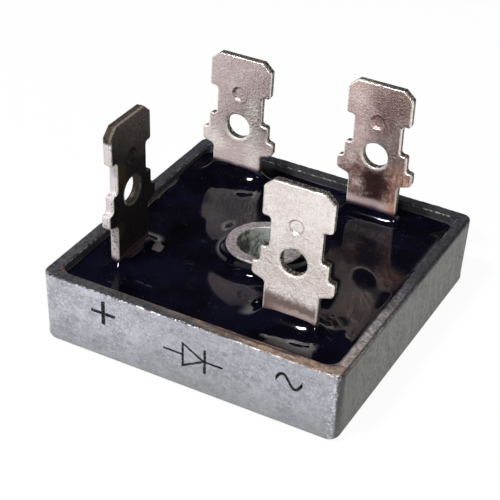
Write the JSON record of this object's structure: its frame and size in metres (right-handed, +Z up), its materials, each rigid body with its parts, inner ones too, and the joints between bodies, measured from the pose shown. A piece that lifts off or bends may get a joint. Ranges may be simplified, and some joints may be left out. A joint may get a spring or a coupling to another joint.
{
  "type": "bridge rectifier",
  "caption": "Low square metal-cased bridge rectifier with a centre screw hole, a potted top and upright quick-connect terminals.",
  "frame": {"origin": "centre of the case's underside", "axes": "+Z up out of the potted side, the way the tabs stand; -Y is the wall with the polarity marks; the plus tab is by the -X, -Y corner"},
  "size_m": [0.0286, 0.0286, 0.0198],
  "materials": {
    "case_metal": "satin casting",
    "tab_metal": "tinned copper, tumbled",
    "compound": "gloss epoxy",
    "alumina": "matt",
    "bond": "matt",
    "solder": "satin",
    "silicon": "satin"
  },
  "bodies": {
    "root": {"case": "case_metal", "bond_layer": "bond", "insulator": "alumina", "plus_terminal": "tab_metal", "minus_terminal": "tab_metal", "front_ac_terminal": "tab_metal", "back_ac_terminal": "tab_metal", "plus_foot_solder": "solder", "minus_foot_solder": "solder", "front_die": "silicon", "left_die": "silicon", "right_die": "silicon", "back_die": "silicon", "front_lower_solder": "solder", "left_lower_solder": "solder", "right_lower_solder": "solder", "back_lower_solder": "solder", "front_upper_solder": "solder", "left_upper_solder": "solder", "right_upper_solder": "solder", "back_upper_solder": "solder", "potting": "compound"}
  },
  "joints": []
}
